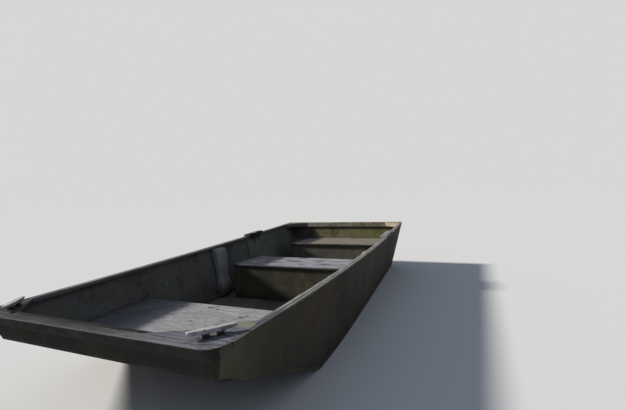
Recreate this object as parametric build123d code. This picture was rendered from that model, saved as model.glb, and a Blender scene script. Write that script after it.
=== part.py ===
from build123d import *
import math
import os

# A flat-bottomed plywood rowing boat with a sloping ramp up to its cut-off bow.
# Millimetres. X runs from the stern to the bow, Y to port, Z up from the underside.
# Places along the boat are distances forward of the stern, which at() turns into X.

# Hull at the top edge of the sides
LENGTH = 3050
STERN_HALF_BEAM = 677
BOW_HALF_BEAM = 542
BEAM_SWELL = 40
STERN_HEIGHT = 468
BOW_HEIGHT = 370
SHEER_DIP = 19

# Hull at the lower edge of the sides
CHINE_STERN_HALF = 562
CHINE_SPREAD = 30
FOREFOOT_TUCK = 248
FOREFOOT_POWER = 10
CORNER_ROUND = 65

# Raked ends, and the ramp between the knuckle and the bow
TRANSOM_RAKE = 100
KNUCKLE = 2382
RAMP_END = 2989
RAMP_RISE = 253

# Sheets and boards
SIDE_PLY = 12
BOTTOM_PLY = 9
END_BOARD = 18
BOX_PLY = 12
DOUBLER_PLY = 6
GLUE_LINE = 0.3

# Rails and strips, thick by deep
RUB_RAIL_THICK, RUB_RAIL_DEEP = 18, 37
BOW_RAIL_THICK, BOW_RAIL_DEEP = 20, 36
STERN_RAIL_THICK, STERN_RAIL_DEEP = 22, 50
INWALE_THICK, INWALE_DEEP = 22, 18
LOG_WIDE, LOG_DEEP = 24, 22

# Corner plates at the bow and corner blocks at the stern, along the side and across it
PORT_GUSSET = (158, 295)
STARBOARD_GUSSET = (145, 180)
GUSSET_THICK = 18
GUSSET_BULGE = 10
PORT_KNEE = (205, 205)
STARBOARD_KNEE = (205, 290)
KNEE_DEEP = 46
KNEE_HOLLOW = 20

# Box seats, which stand clear of the sides
BOX_HALF = 442
THWART_REAR = 1241
THWART_FRONT = 1582
THWART_TOP = 272
THWART_PLY = 18
THWART_LIP = 14
SEAT_FRONT = 538
SEAT_TOP = 290
SEAT_PLY = 18
SEAT_LIP = 18

# Bow platform
PLATFORM_EDGE = 2246
PLATFORM_TOP = 187
PLATFORM_PLY = 12
PLATFORM_SET_BACK = 6

# Rounded side frames beside the thwart. The foot has heights above the floor with their
# radii, and the head has depths below its top with theirs.
FRAME_PLACE = 1522
FRAME_OFF_SIDE = 20
FRAME_FOOT = ((0, 38), (24, 55), (58, 60), (92, 51), (118, 37), (146, 31))
FRAME_HEAD = ((30, 45), (9, 38), (0, 25))
FRAME_SIDES = 32
FRAME_BELOW_RAIL = 4

# Rowlocks
ROWLOCK_PLACE = 905
ROWLOCK_BORE = 6.6
SOCKET_WALL = 2.4
SOCKET_DROP = 54
PLATE_LONG, PLATE_WIDE, PLATE_THICK = 64, 26, 3
BORE_INBOARD = 20
PAD_LONG = 290
PAD_THICK = 18
PAD_OVERHANG = 3
PAD_END_SLOPE = 14
PAD_REBATE = 1
CHEEK_LONG, CHEEK_THICK, CHEEK_DEEP = 150, 16, 32
DOUBLER_GAP = 2
DOUBLER_FRONT = 1055

# Horn cleats
CLEAT_LONG = 142
CLEAT_HIGH = 24
CLEAT_WIDE = 21
CLEAT_TIP_WIDE = 10
CLEAT_BAR = 11
CLEAT_TIP = 7
CLEAT_LEG = 17
CLEAT_GAP = 24
CLEAT_FLANGE = 4
CLEAT_ROUND = 2.5
CLEAT_FROM_BOW = 47
CLEAT_FROM_SIDE = 65
CLEAT_TURN = 140

# Reach of the cutting shapes beyond the hull
WIDE = 900
HIGH = 700
LOW = -200
REACH = 60


def at(place):
    return place - LENGTH / 2


# Hull lines
def half_beam(place):
    t = place / LENGTH
    return STERN_HALF_BEAM * (1 - t) + BOW_HALF_BEAM * t + 4 * BEAM_SWELL * t * (1 - t)


def sheer_height(place):
    t = place / LENGTH
    return STERN_HEIGHT * (1 - t) + BOW_HEIGHT * t - 4 * SHEER_DIP * t * (1 - t)


def chine_half(place):
    """Half-width of the side, carried down to the level of the flat underside."""
    t = place / LENGTH
    return CHINE_STERN_HALF + CHINE_SPREAD * t - FOREFOOT_TUCK * t ** FOREFOOT_POWER


def side_at(place, z):
    """Y of the outer face of the port side."""
    chine = chine_half(place)
    return chine + (half_beam(place) - chine) * z / sheer_height(place)


def transom_outside(z):
    return TRANSOM_RAKE * (1 - z / STERN_HEIGHT)


BOW_OVERHANG = (LENGTH - RUB_RAIL_THICK - RAMP_END) / (BOW_HEIGHT - RAMP_RISE)
RAMP_SLOPE = RAMP_RISE / (RAMP_END - KNUCKLE)
RAMP_ANGLE = math.atan(RAMP_SLOPE)
RAMP_LIFT = BOTTOM_PLY / math.cos(RAMP_ANGLE)
MITRE_BACK = BOTTOM_PLY * math.tan(RAMP_ANGLE / 2)
TRANSOM_STRETCH = 1 / math.cos(math.atan(TRANSOM_RAKE / STERN_HEIGHT))
BOW_STRETCH = 1 / math.cos(math.atan(BOW_OVERHANG))


def bow_outside(z):
    return RAMP_END + BOW_OVERHANG * (z - RAMP_RISE)


def ramp_top(place):
    return (place - KNUCKLE) * RAMP_SLOPE + RAMP_LIFT


# Shapes that the pieces are cut with
def section(place, points):
    return make_face(Polyline([(at(place), y, z) for y, z in points], close=True))


def loft_along(outline, places):
    """Solid through the (y, z) outlines at those places."""
    return loft([section(place, outline(place)) for place in places])


def prism(points):
    """Solid right across the boat from (place, z) points."""
    outline = Polyline([(at(place), 0, z) for place, z in points], close=True)
    return extrude(make_face(outline), amount=WIDE, dir=(0, 1, 0), both=True)


def span(rear, front, low, high):
    return prism([(rear, low), (front, low), (front, high), (rear, high)])


def aft_of_transom(step=0):
    """All that lies behind the transom's outer face, moved forward by step."""
    lean = step * TRANSOM_STRETCH
    return prism([(transom_outside(HIGH) + lean, HIGH), (-LENGTH, HIGH),
                  (-LENGTH, LOW), (transom_outside(LOW) + lean, LOW)])


def ahead_of_bow(step=0):
    """All that lies before the bow board's outer face, moved aft by step."""
    lean = step * BOW_STRETCH
    return prism([(bow_outside(HIGH) - lean, HIGH), (2 * LENGTH, HIGH),
                  (2 * LENGTH, LOW), (bow_outside(LOW) - lean, LOW)])


def under_the_floor():
    """All that lies below the upper faces of the bottom and the ramp."""
    end = LENGTH + 2 * REACH
    return prism([(-2 * REACH, LOW), (end, LOW), (end, ramp_top(end)),
                  (KNUCKLE - MITRE_BACK, BOTTOM_PLY), (-2 * REACH, BOTTOM_PLY)])


def outer_outline(place):
    top, low, wide = sheer_height(place), side_at(place, 0), half_beam(place)
    return [(-low, 0), (low, 0), (wide, top), (-wide, top)]


def inner_outline(place):
    top = sheer_height(place) + REACH
    low, wide = side_at(place, 0) - SIDE_PLY, side_at(place, top) - SIDE_PLY
    return [(-low, 0), (low, 0), (wide, top), (-wide, top)]


STATION_COUNT = 11
STATION_STEP = (LENGTH + 2 * REACH) / (STATION_COUNT - 1)
STATIONS = [-REACH + STATION_STEP * i for i in range(STATION_COUNT)]
OUTER = loft_along(outer_outline, STATIONS)
INNER = loft_along(inner_outline, STATIONS)
FLOOR = under_the_floor()
INSIDE = INNER - FLOOR - aft_of_transom(END_BOARD) - ahead_of_bow(END_BOARD)
PORT_HALF = Pos(0, WIDE, 0) * Box(4 * LENGTH, 2 * WIDE, 4 * HIGH)


def bow_corners():
    """What is rounded off the two top corners of the bow."""
    low = BOW_HEIGHT - RUB_RAIL_DEEP
    centre = Pos(at(LENGTH - CORNER_ROUND), BOW_HALF_BEAM - CORNER_ROUND, 0)
    block = centre * Box(2 * CORNER_ROUND, 2 * CORNER_ROUND, HIGH, align=(Align.MIN, Align.MIN, Align.MIN))
    port = (block - centre * Cylinder(CORNER_ROUND, 2 * HIGH)) & span(0, LENGTH + REACH, low, HIGH)
    return port + on_starboard(port)


def on_starboard(piece):
    return mirror(piece, about=Plane.XZ)


# Hull shell
def side():
    return ((OUTER - INNER) & PORT_HALF) - FLOOR - aft_of_transom() - ahead_of_bow()


def bottom():
    """Flat sheet under the sides, mitred to the ramp at the knuckle."""
    sheet = prism([(-REACH, 0), (KNUCKLE, 0), (KNUCKLE - MITRE_BACK, BOTTOM_PLY), (-REACH, BOTTOM_PLY)])
    return (OUTER & sheet) - aft_of_transom()


def ramp():
    """Sheet on the slope, with its front edge showing under the bow board."""
    end = LENGTH + REACH
    sheet = prism([(KNUCKLE, 0), (end, ramp_top(end) - RAMP_LIFT), (end, ramp_top(end)),
                   (KNUCKLE - MITRE_BACK, BOTTOM_PLY)])
    return (OUTER & sheet) - ahead_of_bow()


def transom():
    board = INNER & span(-REACH, TRANSOM_RAKE + REACH, BOTTOM_PLY, STERN_HEIGHT)
    ahead = prism([(transom_outside(HIGH) + END_BOARD * TRANSOM_STRETCH, HIGH), (LENGTH, HIGH),
                   (LENGTH, LOW), (transom_outside(LOW) + END_BOARD * TRANSOM_STRETCH, LOW)])
    return board - aft_of_transom() - ahead


def bow_board():
    board = INNER & span(RAMP_END - 2 * REACH, LENGTH + REACH, 0, BOW_HEIGHT)
    behind = prism([(bow_outside(HIGH) - END_BOARD * BOW_STRETCH, HIGH), (-LENGTH, HIGH),
                    (-LENGTH, LOW), (bow_outside(LOW) - END_BOARD * BOW_STRETCH, LOW)])
    return board - ahead_of_bow() - behind - FLOOR


# Rails
def bow_strip(volume, back, front, deep):
    """Strip along the bow board, from back to front before its outer face."""
    low = BOW_HEIGHT - deep
    lean = BOW_OVERHANG * deep
    place = bow_outside(BOW_HEIGHT)
    return volume & prism([(place + back, BOW_HEIGHT), (place + front, BOW_HEIGHT),
                           (place + front - lean, low), (place + back - lean, low)])


def stern_rail():
    low = STERN_HEIGHT - STERN_RAIL_DEEP
    rear = END_BOARD * TRANSOM_STRETCH
    front = rear + STERN_RAIL_THICK * TRANSOM_STRETCH
    shift = transom_outside(low)
    return INNER & prism([(rear, STERN_HEIGHT), (front, STERN_HEIGHT), (front + shift, low), (rear + shift, low)])


def strip_on_side(thick, deep, rear, front, stations, top):
    """Strip glued inside the port side, its top level at the height top(place)."""
    def outline(place):
        high = top(place)
        low = high - deep
        y_high, y_low = (side_at(place, z) - SIDE_PLY - GLUE_LINE for z in (high, low))
        return [(y_high, high), (y_high - thick, high), (y_low - thick, low), (y_low, low)]
    places = [rear] + [s for s in stations if rear < s < front] + [front]
    return loft_along(outline, places)


def inwale():
    strip = strip_on_side(INWALE_THICK, INWALE_DEEP, -REACH, LENGTH + REACH, STATIONS, sheer_height)
    return strip & INSIDE


def chine_log():
    def top(place):
        return BOTTOM_PLY + LOG_DEEP
    return strip_on_side(LOG_WIDE, LOG_DEEP, 0, KNUCKLE - REACH, STATIONS, top) & INSIDE


# Corner pieces, flush with the top edge
def corner_face(corner, along_side, across, hollow):
    """Flat corner with a slightly hollowed long edge; corner is (place, y)."""
    place, y = corner
    tip_side = (at(place + along_side), y)
    tip_end = (at(place), y - across)
    middle_x = (tip_side[0] + tip_end[0]) / 2
    middle_y = (tip_side[1] + tip_end[1]) / 2
    run = math.hypot(along_side, across)
    toward = (-across / run * math.copysign(hollow, along_side), hollow * abs(along_side) / run)
    curve = ThreePointArc(tip_side, (middle_x + toward[0], middle_y + toward[1]), tip_end)
    beyond = REACH
    back = (at(place - math.copysign(beyond, along_side)), y - across)
    far = (back[0], y + beyond)
    wide = (tip_side[0], y + beyond)
    edges = [curve, Line(tip_end, back), Line(back, far), Line(far, wide), Line(wide, tip_side)]
    return make_face(edges)


def bow_gusset(along_side, along_bow):
    corner = (bow_outside(BOW_HEIGHT) - END_BOARD * BOW_STRETCH, BOW_HALF_BEAM - SIDE_PLY)
    face = corner_face(corner, -along_side, along_bow, -GUSSET_BULGE)
    plate = extrude(Pos(0, 0, BOW_HEIGHT - GUSSET_THICK) * face, amount=GUSSET_THICK, dir=(0, 0, 1))
    return plate & INSIDE & OUTER


def quarter_knee(along_side, along_stern):
    corner = (END_BOARD * TRANSOM_STRETCH, STERN_HALF_BEAM - SIDE_PLY)
    face = corner_face(corner, along_side, along_stern, KNEE_HOLLOW)
    block = extrude(Pos(0, 0, STERN_HEIGHT - KNEE_DEEP) * face, amount=KNEE_DEEP + REACH, dir=(0, 0, 1))
    return block & INSIDE & OUTER


# Seats and platform
def cross_panel(rear, front, low, high):
    return INSIDE & span(rear, front, low, high)


def between_ends(half):
    """All that lies within half of the centre line."""
    return Box(4 * LENGTH, 2 * half, 4 * HIGH)


def box_seat(rear, front, top, ply, lip, rear_panel):
    """Top, front, rear and port end of a box seat that stands on the floor."""
    low = top - ply
    rear_face, front_face = rear + (lip if rear_panel else 0), front - lip
    wide = between_ends(BOX_HALF - lip)
    parts = {
        "top": cross_panel(rear, front, low, top) & between_ends(BOX_HALF),
        "front_panel": cross_panel(front_face - BOX_PLY, front_face, BOTTOM_PLY, low) & wide,
    }
    rear_inner = rear_face
    if rear_panel:
        rear_inner = rear_face + BOX_PLY
        parts["rear_panel"] = cross_panel(rear_face, rear_inner, BOTTOM_PLY, low) & wide
    ends = cross_panel(rear_inner, front_face - BOX_PLY, BOTTOM_PLY, low) & wide
    parts["end_panel_port"] = (ends - between_ends(BOX_HALF - lip - BOX_PLY)) & PORT_HALF
    parts["end_panel_starboard"] = on_starboard(parts["end_panel_port"])
    return parts


def side_frame():
    """Many-sided post with a rounded foot and head, cut to the side that it leans with."""
    top = sheer_height(FRAME_PLACE) - INWALE_DEEP - FRAME_BELOW_RAIL
    y_floor, y_top = (side_at(FRAME_PLACE, z) - SIDE_PLY - FRAME_OFF_SIDE for z in (BOTTOM_PLY, top))
    lean = (0, y_top - y_floor, top - BOTTOM_PLY)
    high = math.hypot(y_top - y_floor, top - BOTTOM_PLY)
    upright = Plane(origin=(at(FRAME_PLACE), y_floor, BOTTOM_PLY), x_dir=(1, 0, 0), z_dir=lean)
    profile = list(FRAME_FOOT) + [(high - below, radius) for below, radius in FRAME_HEAD]
    post = loft([Pos(0, 0, height) * RegularPolygon(radius, FRAME_SIDES) for height, radius in profile], ruled=True)
    return upright * post & INSIDE


# Rowlocks
def pad():
    """Cap over the gunwale with a cheek inboard of the inwale, before both are fitted to it."""
    cheek_front = SIDE_PLY + INWALE_THICK
    inner = cheek_front + CHEEK_THICK

    def cap(place, thick):
        low, y = sheer_height(place) - PAD_REBATE, half_beam(place)
        return [(y + PAD_OVERHANG, low), (y + PAD_OVERHANG, low + PAD_REBATE + thick),
                (y - inner, low + PAD_REBATE + thick), (y - inner, low)]

    def cheek(place, deep):
        top, y = sheer_height(place), half_beam(place)
        lean = (side_at(place, top) - side_at(place, top - deep))
        return [(y - cheek_front + PAD_REBATE, top), (y - inner, top), (y - inner - lean, top - deep),
                (y - cheek_front - lean + PAD_REBATE, top - deep)]

    rear, front = ROWLOCK_PLACE - PAD_LONG / 2, ROWLOCK_PLACE + PAD_LONG / 2
    ends = ((rear, 2), (rear + PAD_END_SLOPE, PAD_THICK), (front - PAD_END_SLOPE, PAD_THICK), (front, 2))
    block = loft([section(place, cap(place, thick)) for place, thick in ends], ruled=True)
    half = CHEEK_LONG / 2
    ends = ((ROWLOCK_PLACE - half, INWALE_DEEP), (ROWLOCK_PLACE - half + PAD_END_SLOPE, CHEEK_DEEP),
            (ROWLOCK_PLACE + half - PAD_END_SLOPE, CHEEK_DEEP), (ROWLOCK_PLACE + half, INWALE_DEEP))
    return block + loft([section(place, cheek(place, deep)) for place, deep in ends], ruled=True)


def socket_spot():
    """Centre of the bore, and the level seat of the plate on the sloping pad."""
    y = half_beam(ROWLOCK_PLACE) - SIDE_PLY - BORE_INBOARD
    seat = sheer_height(ROWLOCK_PLACE + PLATE_LONG / 2) + PAD_THICK - GLUE_LINE
    return at(ROWLOCK_PLACE), y, seat


def plate_blank(room=0):
    x, y, seat = socket_spot()
    blank = Box(PLATE_LONG + 2 * room, PLATE_WIDE + 2 * room, PLATE_THICK + 2 * room)
    blank = fillet(blank.edges().filter_by(Axis.Z), PLATE_WIDE / 2 - 1)
    return Pos(x, y, seat + PLATE_THICK / 2 + room) * blank


def tube_blank(radius, drop):
    """Round bar down from the plate's upper face."""
    x, y, seat = socket_spot()
    return Pos(x, y, seat + PLATE_THICK - drop / 2) * Cylinder(radius, drop)


def socket():
    tube = tube_blank(ROWLOCK_BORE + SOCKET_WALL, SOCKET_DROP)
    return plate_blank() + tube - tube_blank(ROWLOCK_BORE, 4 * SOCKET_DROP)


def socket_room():
    return tube_blank(ROWLOCK_BORE + SOCKET_WALL, 4 * SOCKET_DROP) + plate_blank(GLUE_LINE)


def doubler():
    """Thin lining on the inside of the port side, between the inwale and the chine log."""
    def outline(place):
        high, low = sheer_height(place) - INWALE_DEEP - DOUBLER_GAP, BOTTOM_PLY + LOG_DEEP + DOUBLER_GAP
        y_high, y_low = (side_at(place, z) - SIDE_PLY - GLUE_LINE for z in (high, low))
        return [(y_high, high), (y_high - DOUBLER_PLY, high), (y_low - DOUBLER_PLY, low), (y_low, low)]
    return loft_along(outline, STATIONS) & span(0, DOUBLER_FRONT, 0, HIGH) & INSIDE


# Cleats
def cleat():
    """Horn cleat on two flanged legs, its bar along local X and its feet at z = 0."""
    half, under = CLEAT_LONG / 2, CLEAT_HIGH - CLEAT_BAR
    leg_in, leg_out = CLEAT_GAP / 2, CLEAT_GAP / 2 + CLEAT_LEG
    right = [(0, under), (leg_in, under), (leg_in, 0), (leg_out + CLEAT_FLANGE, 0),
             (leg_out, CLEAT_FLANGE), (leg_out, under - CLEAT_FLANGE), (leg_out + CLEAT_FLANGE, under),
             (half, CLEAT_HIGH - CLEAT_TIP), (half, CLEAT_HIGH), (0, CLEAT_HIGH)]
    left = [(-x, z) for x, z in reversed(right[1:-1])]
    outline = Polyline([(x, 0, z) for x, z in right + left], close=True)
    profile = extrude(make_face(outline), amount=CLEAT_WIDE, dir=(0, 1, 0), both=True)
    tip, wide = CLEAT_TIP_WIDE / 2, CLEAT_WIDE / 2
    plan = make_face([ThreePointArc((-half, -tip), (0, -wide), (half, -tip)), Line((half, -tip), (half, tip)),
                      ThreePointArc((half, tip), (0, wide), (-half, tip)), Line((-half, tip), (-half, -tip))])
    body = profile & extrude(plan, amount=CLEAT_HIGH, dir=(0, 0, 1))
    body = fillet([e for e in body.edges() if abs(abs(e.center().X) - half) < CLEAT_ROUND], CLEAT_ROUND)
    return body


def placed_cleat():
    """Cleat on the gusset, its bar slanting across the corner."""
    corner_x = at(bow_outside(BOW_HEIGHT) - END_BOARD * BOW_STRETCH)
    corner_y = BOW_HALF_BEAM - SIDE_PLY
    spot = Pos(corner_x - CLEAT_FROM_BOW, corner_y - CLEAT_FROM_SIDE, BOW_HEIGHT)
    return spot * Rot(0, 0, CLEAT_TURN) * cleat()


def build():
    frame, log = side_frame(), chine_log()
    log = log - frame
    rounding = bow_corners()
    port_knee, starboard_knee = quarter_knee(*PORT_KNEE), on_starboard(quarter_knee(*STARBOARD_KNEE))
    port_gusset, starboard_gusset = bow_gusset(*PORT_GUSSET), on_starboard(bow_gusset(*STARBOARD_GUSSET))
    knees, gussets = port_knee + starboard_knee, port_gusset + starboard_gusset
    board_back = -END_BOARD * BOW_STRETCH
    bow_rail = bow_strip(INSIDE, board_back - BOW_RAIL_THICK, board_back, BOW_RAIL_DEEP)
    rear_rail = stern_rail() - knees
    rail = inwale() - bow_rail - rear_rail
    lining = doubler() - rear_rail - socket_room()
    platform_low = PLATFORM_TOP - PLATFORM_PLY
    platform_face = PLATFORM_EDGE + PLATFORM_SET_BACK
    pieces = {
        "bottom_panel": bottom(),
        "bow_ramp_panel": ramp(),
        "transom": transom(),
        "bow_board": bow_board() - rounding,
        "bow_rub_rail": bow_strip(OUTER, 0, RUB_RAIL_THICK, RUB_RAIL_DEEP) - rounding,
        "bow_inner_rail": bow_rail - gussets,
        "stern_rail": rear_rail,
        "platform_deck": cross_panel(PLATFORM_EDGE, LENGTH, platform_low, PLATFORM_TOP),
        "platform_bulkhead": cross_panel(platform_face, platform_face + BOX_PLY, BOTTOM_PLY, platform_low)
        - log - on_starboard(log),
        "bow_gusset_port": port_gusset,
        "bow_gusset_starboard": starboard_gusset,
        "quarter_knee_port": port_knee,
        "quarter_knee_starboard": starboard_knee,
        "inwale_port": rail - knees - gussets - socket_room(),
        "inwale_starboard": on_starboard(rail - socket_room()) - knees - gussets,
        "side_doubler_port": lining - knees,
        "side_doubler_starboard": on_starboard(lining) - knees,
    }
    thwart = box_seat(THWART_REAR, THWART_FRONT, THWART_TOP, THWART_PLY, THWART_LIP, True)
    seat = box_seat(0, SEAT_FRONT, SEAT_TOP, SEAT_PLY, SEAT_LIP, False)
    for name, parts in (("thwart", thwart), ("stern_seat", seat)):
        for part, piece in parts.items():
            pieces[name + "_" + part] = piece
    sheet = side() - rounding
    port = {
        "side": sheet,
        "chine_log": log,
        "side_frame": frame,
        "rowlock_pad": pad() - sheet - pieces["inwale_port"] - socket_room(),
        "rowlock_socket": socket(),
        "bow_cleat": placed_cleat(),
    }
    for name, piece in port.items():
        pieces[name + "_port"] = piece
        pieces[name + "_starboard"] = on_starboard(piece)
    return pieces


def main():
    os.makedirs("parts", exist_ok=True)
    for name, piece in build().items():
        export_step(piece, f"parts/{name}.step")


main()
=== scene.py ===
import math
from functools import partial, reduce

import bmesh
import bpy
from mathutils import Matrix, Vector
from mathutils.bvhtree import BVHTree


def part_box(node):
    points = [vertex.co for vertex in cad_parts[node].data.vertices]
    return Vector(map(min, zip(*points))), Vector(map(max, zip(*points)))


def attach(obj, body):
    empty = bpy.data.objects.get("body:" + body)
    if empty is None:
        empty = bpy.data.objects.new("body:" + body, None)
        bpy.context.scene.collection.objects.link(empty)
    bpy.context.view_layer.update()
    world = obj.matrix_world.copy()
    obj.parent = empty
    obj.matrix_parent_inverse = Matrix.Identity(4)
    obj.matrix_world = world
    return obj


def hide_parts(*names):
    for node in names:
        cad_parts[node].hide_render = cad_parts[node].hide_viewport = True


# A weathered plywood rowing boat, ashore on a plain pale floor.
# Metres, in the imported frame: X to the bow, Y to port, Z up from the flat bottom.

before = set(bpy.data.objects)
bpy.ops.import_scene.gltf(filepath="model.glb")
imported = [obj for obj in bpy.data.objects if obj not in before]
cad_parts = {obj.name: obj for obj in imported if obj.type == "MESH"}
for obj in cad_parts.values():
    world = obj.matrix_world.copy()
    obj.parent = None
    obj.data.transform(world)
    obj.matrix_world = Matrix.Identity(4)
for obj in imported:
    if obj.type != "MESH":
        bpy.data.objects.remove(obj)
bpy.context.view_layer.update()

# Camera, fitted to the edges of the boat in the photograph
PHOTO_WIDTH = 626
FOCAL_PIXELS = 331.0
SENSOR_WIDTH = 36.0
CAMERA_PLACE = Vector((2.205, 1.077, 0.748))
CAMERA_YAW = math.radians(-21.09)
CAMERA_PITCH = math.radians(1.017)
CAMERA_ROLL = math.radians(-1.922)

# Light: a low soft key from the starboard beam and an even sky, one in all on level ground
KEY_TOWARD = Vector((0.20, -0.90, 0.50)).normalized()
KEY_ANGLE = math.radians(6)
KEY_COLOUR = (1.0, 0.965, 0.91)
SKY_COLOUR = (0.84, 0.97, 1.20, 1)
SKY_STRENGTH = 0.24
LEVEL_LIGHT = 1.0

# Room
FLOOR_RADIUS = 90.0
FLOOR_SIDES = 96
FLOOR_HEIGHT = -0.0005
FLOOR_COLOUR = (0.71, 0.705, 0.69, 1)
BACKDROP_COLOUR = (0.680, 0.680, 0.672, 1)


def shades(dark, mid, pale):
    """Three tones of one paint or timber, linear."""
    return {"dark": (*dark, 1), "mid": (*mid, 1), "pale": (*pale, 1)}


# Paint
OUTER = shades((0.056, 0.050, 0.042), (0.075, 0.068, 0.057), (0.102, 0.094, 0.082))
INNER = shades((0.104, 0.103, 0.094), (0.148, 0.146, 0.134), (0.195, 0.193, 0.180))
LINING = shades((0.125, 0.125, 0.110), (0.170, 0.170, 0.153), (0.215, 0.215, 0.198))
# Deep painted shade: paint darkened to stand in for shade on the bow board, its rails, the underside ahead
# and the starboard parts in shade
DEEP_SHADE = shades((0.014, 0.015, 0.013), (0.021, 0.022, 0.020), (0.033, 0.034, 0.031))
LAVENDER = shades((0.225, 0.220, 0.212), (0.292, 0.286, 0.276), (0.360, 0.354, 0.345))
OLIVE = shades((0.048, 0.046, 0.036), (0.072, 0.068, 0.052), (0.110, 0.104, 0.084))
PINKISH = shades((0.090, 0.082, 0.070), (0.128, 0.116, 0.098), (0.165, 0.150, 0.130))

# Weathered timber
RAIL = shades((0.060, 0.055, 0.050), (0.180, 0.175, 0.166), (0.325, 0.316, 0.300))
BOW_RAIL = shades((0.014, 0.014, 0.015), (0.028, 0.029, 0.032), (0.092, 0.094, 0.102))
STERN_RAIL = shades((0.075, 0.060, 0.042), (0.150, 0.130, 0.096), (0.300, 0.270, 0.212))
# Blue-grey and darker than the plate in light: painted shade on the port plate
GUSSET = shades((0.045, 0.040, 0.040), (0.095, 0.098, 0.115), (0.185, 0.190, 0.215))
WHITE_TOP = shades((0.070, 0.070, 0.080), (0.150, 0.150, 0.172), (0.440, 0.440, 0.465))
WARM_TOP = shades((0.085, 0.070, 0.055), (0.155, 0.136, 0.114), (0.290, 0.258, 0.220))
DECK_TOP = shades((0.075, 0.073, 0.076), (0.235, 0.232, 0.236), (0.385, 0.380, 0.384))
KNEE = shades((0.110, 0.070, 0.036), (0.300, 0.240, 0.155), (0.460, 0.395, 0.280))

# Stains, worn edges, painted shade and metal, linear
ALGAE = (0.150, 0.134, 0.064, 1)
ALGAE_DARK = (0.044, 0.045, 0.022, 1)
MOSS = (0.125, 0.135, 0.034, 1)
LICHEN = (0.225, 0.218, 0.145, 1)
CHIP = (0.270, 0.265, 0.255, 1)
BROWN = (0.096, 0.060, 0.038, 1)
RED_SEAM = (0.042, 0.024, 0.020, 1)
# Dirt, and painted shade where corners hide the sky
DIRT_AND_SHADE = (0.030, 0.027, 0.021, 1)
# Mildew; under the starboard knee it is also painted shade
MILDEW_AND_SHADE = (0.045, 0.043, 0.042, 1)
# Blue-grey painted shadow on the starboard parts of the seat tops and the platform
PAINTED_SHADOW = (0.029, 0.031, 0.042, 1)
EDGE_GREY = (0.190, 0.192, 0.205, 1)
RAIL_EDGE = (0.250, 0.244, 0.232, 1)
# Blue-grey painted shade on the gunwale tops at the bow
SHADE_BLUE_GREY = (0.072, 0.076, 0.095, 1)
ZINC = (0.360, 0.362, 0.395, 1)
ZINC_GREY = (0.170, 0.172, 0.185, 1)
# Dark zinc specks, and painted shade on the cleats' feet
DARK_ZINC_AND_SHADE = (0.022, 0.023, 0.020, 1)
# Worn zinc, and a painted highlight on the cleats' tops
ZINC_BRIGHT = (0.430, 0.425, 0.410, 1)
NAIL = (0.030, 0.029, 0.027, 1)
NAIL_RUST = (0.046, 0.031, 0.023, 1)

# Where a finish fades in along an axis: where it begins, where it is full and its greatest share
GREEN_AHEAD = (0.75, 1.35, 0.50)
SPLASHED_LOW = (0.11, 0.0)
SILTED_LOW = (0.10, 0.0)
# Where the gunwale tops turn to blue-grey painted shade
BLUE_SHADE_AHEAD = (1.15, 1.24, 0.75)
WORN_AFT = (1.30, 1.16)
STRIP_HIGH, STRIP_AFT = (0.29, 0.32), (1.24, 1.12)
DAMP_FOOT = (0.150, 0.045, 0.85)
# Where the underside ahead turns to deep painted shade
DEEP_SHADE_AHEAD = (1.36, 1.44)
BLEACHED_PORT = (0.02, 0.34, 0.85)
SEAM_PORT = (0.15, 0.40, 0.5)
BOARD_INSIDE, RUB_RAIL_OUTSIDE = (1.494, 1.490), (1.508, 1.514)
GUSSET_EDGE_INBOARD = (0.46, 0.38, 0.85)
DARK_GUSSET_INBOARD = (-0.530, -0.505)
TOP_EDGE_PORT = (-0.50, -0.38, 0.8)
ALGAE_PORT = (-0.15, 0.42)
CLEAT_BAR, CLEAT_BRIGHT = (0.380, 0.386), (0.380, 0.385, 0.85)
CLEATS_AHEAD, SOCKETS_AFT, SOCKET_TUBE_LOW = (0.5, 0.4), (0.1, 0.0), (0.430, 0.422)

# Bands along an axis: begins, full, thins, ends
SCUFFED_HEIGHT, SCUFFED_LENGTH = (0.209, 0.213, 0.216, 0.222), (0.72, 0.82, 1.00, 1.10)
SEAM_HEIGHT = (0.310, 0.315, 0.321, 0.326)
PALE_LINE_HEIGHT = (0.112, 0.122, 0.124, 0.132)

# Bands of painted shadow across the starboard parts of the tops, with the band as above and its greatest
# share
THWART_SHADOW_BAND = ((-0.09, -0.18, -0.46, -0.54), 0.95)
SEAT_SHADOW_BAND = ((-0.17, -0.25, -0.50, -0.57), 0.95)
DECK_SHADOW_BAND = ((-0.20, -0.40, -0.60, -0.70), 0.6)

# Spots that show in the photograph: centre and half size
MOSS_SPOT = ((-1.48, 0.40, 0.37), (0.30, 0.16, 0.06))
# Mildew and painted shade in the corner under the starboard knee
MILDEW_AND_SHADE_SPOT = ((-1.48, -0.45, 0.36), (0.30, 0.16, 0.12))
BROWN_SPOT = ((-1.470, 0.340, 0.45), (0.10, 0.13, 0.10))
LICHEN_SPOTS = (((1.340, 0.490, 0.37), (0.030, 0.065, 0.10)), ((1.424, 0.446, 0.37), (0.018, 0.026, 0.10)))
GREY_END = ((1.350, -0.530, 0.37), (0.030, 0.030, 0.05))

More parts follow.
